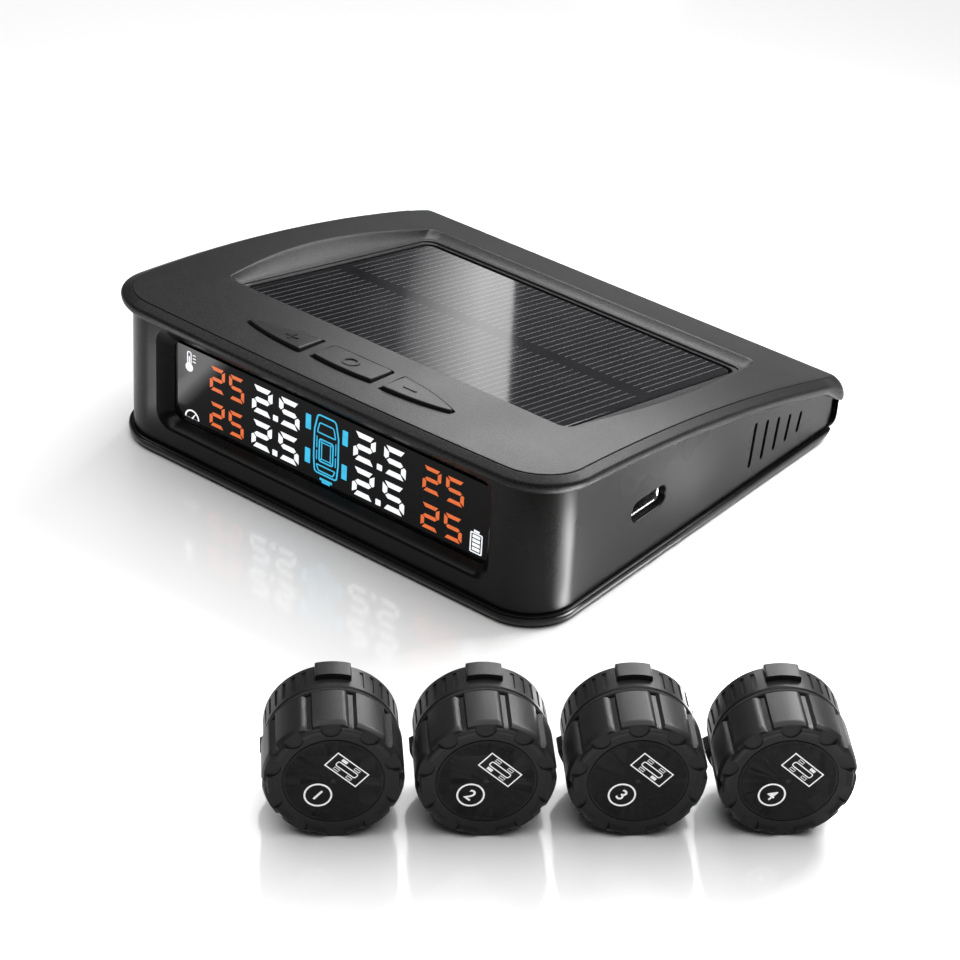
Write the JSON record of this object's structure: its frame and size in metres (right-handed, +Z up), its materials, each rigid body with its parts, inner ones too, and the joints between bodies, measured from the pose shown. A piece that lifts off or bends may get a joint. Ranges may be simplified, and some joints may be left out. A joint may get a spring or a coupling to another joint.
{
  "type": "tire pressure monitor",
  "caption": "Wedge-shaped solar dashboard tyre pressure display with a recessed screen and press keys, and screw-on valve sensors with threaded caps.",
  "frame": {"origin": "centre of the display's resting face, under its anti-slip pad", "axes": "+X to the right of someone reading the screen, +Y away from the reader, +Z up"},
  "size_m": [0.1406, 0.1368, 0.0258],
  "materials": {
    "cover_plastic": "fine-textured black moulding",
    "housing_plastic": "satin black moulding",
    "plate_plastic": "semi-gloss black moulding",
    "key_plastic": "satin black, moulded marks",
    "pad_rubber": "matt black rubber",
    "screw_steel": "zinc-plated",
    "solar_glass": "polished cover glass with a bevelled edge",
    "solar_silicon": "dark cells with fine grey finger lines",
    "window_glass": "glossy black window",
    "lcd": "colour-printed segment display",
    "diffuser": "white diffuser",
    "circuit_board": "green solder mask",
    "chip_plastic": "black epoxy",
    "switch_steel": "pressed sheet",
    "socket_steel": "bright pressed shell",
    "copper": "bare copper",
    "battery_foil": "foil pouch",
    "sensor_plastic": "fine-textured black moulding",
    "seal_rubber": "soft black rubber",
    "insert_brass": "turned brass",
    "cell_steel": "bright nickel-plated can"
  },
  "bodies": {
    "display": {"top_cover": "cover_plastic", "housing": "housing_plastic", "bottom_plate": "plate_plastic", "anti_slip_pad": "pad_rubber", "case_screw_1": "screw_steel", "case_screw_2": "screw_steel", "case_screw_3": "screw_steel", "case_screw_4": "screw_steel", "solar_glass": "solar_glass", "solar_cells": "solar_silicon", "plus_switch": "switch_steel", "set_switch": "switch_steel", "minus_switch": "switch_steel", "key_board": "circuit_board", "screen_window": "window_glass", "lcd_panel": "lcd", "backlight": "diffuser", "main_board": "circuit_board", "processor_chip": "chip_plastic", "buzzer": "chip_plastic", "motion_switch": "switch_steel", "antenna_coil": "copper", "usb_socket": "socket_steel", "usb_tongue": "chip_plastic", "battery_pack": "battery_foil", "solar_lead": "copper"},
    "plus_key": {"plus_button": "key_plastic", "plus_stem": "chip_plastic"},
    "set_key": {"set_button": "key_plastic", "set_stem": "chip_plastic"},
    "minus_key": {"minus_button": "key_plastic", "minus_stem": "chip_plastic"},
    "sensor_1_body": {"sensor_1_base": "sensor_plastic", "sensor_1_valve_insert": "insert_brass", "sensor_1_gasket": "seal_rubber", "sensor_1_board": "circuit_board", "sensor_1_coin_cell": "cell_steel"},
    "sensor_1_seal": {"sensor_1_seal_ring": "seal_rubber"},
    "sensor_1_lid": {"sensor_1_cap": "sensor_plastic"},
    "sensor_2_body": {"sensor_2_base": "sensor_plastic", "sensor_2_valve_insert": "insert_brass", "sensor_2_gasket": "seal_rubber", "sensor_2_board": "circuit_board", "sensor_2_coin_cell": "cell_steel"},
    "sensor_2_seal": {"sensor_2_seal_ring": "seal_rubber"},
    "sensor_2_lid": {"sensor_2_cap": "sensor_plastic"},
    "sensor_3_body": {"sensor_3_base": "sensor_plastic", "sensor_3_valve_insert": "insert_brass", "sensor_3_gasket": "seal_rubber", "sensor_3_board": "circuit_board", "sensor_3_coin_cell": "cell_steel"},
    "sensor_3_seal": {"sensor_3_seal_ring": "seal_rubber"},
    "sensor_3_lid": {"sensor_3_cap": "sensor_plastic"},
    "sensor_4_body": {"sensor_4_base": "sensor_plastic", "sensor_4_valve_insert": "insert_brass", "sensor_4_gasket": "seal_rubber", "sensor_4_board": "circuit_board", "sensor_4_coin_cell": "cell_steel"},
    "sensor_4_seal": {"sensor_4_seal_ring": "seal_rubber"},
    "sensor_4_lid": {"sensor_4_cap": "sensor_plastic"}
  },
  "joints": [
    {"name": "plus_press", "type": "slide", "parent": "display", "child": "plus_key", "axis": [0, 0.0927, 0.9957], "range_m": [-0.0005, 0], "stiffness_N_per_m": 400, "springref_m": 0.0005},
    {"name": "set_press", "type": "slide", "parent": "display", "child": "set_key", "axis": [0, 0.0927, 0.9957], "range_m": [-0.0005, 0], "stiffness_N_per_m": 400, "springref_m": 0.0005},
    {"name": "minus_press", "type": "slide", "parent": "display", "child": "minus_key", "axis": [0, 0.0927, 0.9957], "range_m": [-0.0005, 0], "stiffness_N_per_m": 400, "springref_m": 0.0005},
    {"name": "sensor_1_lift", "type": "slide", "parent": "display", "child": "sensor_1_body", "axis": [0, 0, 1], "range_m": [0, 0.06]},
    {"name": "sensor_1_cap_rise", "type": "slide", "parent": "sensor_1_body", "child": "sensor_1_seal", "axis": [0.673, -0.7396, 0], "range_m": [0, 0.00301]},
    {"name": "sensor_1_cap_turn", "type": "hinge", "parent": "sensor_1_seal", "child": "sensor_1_lid", "pos_m": [0.0397, -0.07968, 0.009], "axis": [0.673, -0.7396, 0], "range_deg": [0, 720]},
    {"name": "sensor_2_lift", "type": "slide", "parent": "display", "child": "sensor_2_body", "axis": [0, 0, 1], "range_m": [0, 0.06]},
    {"name": "sensor_2_cap_rise", "type": "slide", "parent": "sensor_2_body", "child": "sensor_2_seal", "axis": [0.673, -0.7396, 0], "range_m": [0, 0.00301]},
    {"name": "sensor_2_cap_turn", "type": "hinge", "parent": "sensor_2_seal", "child": "sensor_2_lid", "pos_m": [0.0539, -0.06676, 0.009], "axis": [0.673, -0.7396, 0], "range_deg": [0, 720]},
    {"name": "sensor_3_lift", "type": "slide", "parent": "display", "child": "sensor_3_body", "axis": [0, 0, 1], "range_m": [0, 0.06]},
    {"name": "sensor_3_cap_rise", "type": "slide", "parent": "sensor_3_body", "child": "sensor_3_seal", "axis": [0.673, -0.7396, 0], "range_m": [0, 0.00301]},
    {"name": "sensor_3_cap_turn", "type": "hinge", "parent": "sensor_3_seal", "child": "sensor_3_lid", "pos_m": [0.0681, -0.05384, 0.009], "axis": [0.673, -0.7396, 0], "range_deg": [0, 720]},
    {"name": "sensor_4_lift", "type": "slide", "parent": "display", "child": "sensor_4_body", "axis": [0, 0, 1], "range_m": [0, 0.06]},
    {"name": "sensor_4_cap_rise", "type": "slide", "parent": "sensor_4_body", "child": "sensor_4_seal", "axis": [0.673, -0.7396, 0], "range_m": [0, 0.00301]},
    {"name": "sensor_4_cap_turn", "type": "hinge", "parent": "sensor_4_seal", "child": "sensor_4_lid", "pos_m": [0.0823, -0.04092, 0.009], "axis": [0.673, -0.7396, 0], "range_deg": [0, 720]}
  ],
  "couplings": [
    {"joint": "sensor_1_cap_rise", "follows": "sensor_1_cap_turn", "m_per_rad": 0.00023873},
    {"joint": "sensor_2_cap_rise", "follows": "sensor_2_cap_turn", "m_per_rad": 0.00023873},
    {"joint": "sensor_3_cap_rise", "follows": "sensor_3_cap_turn", "m_per_rad": 0.00023873},
    {"joint": "sensor_4_cap_rise", "follows": "sensor_4_cap_turn", "m_per_rad": 0.00023873}
  ]
}
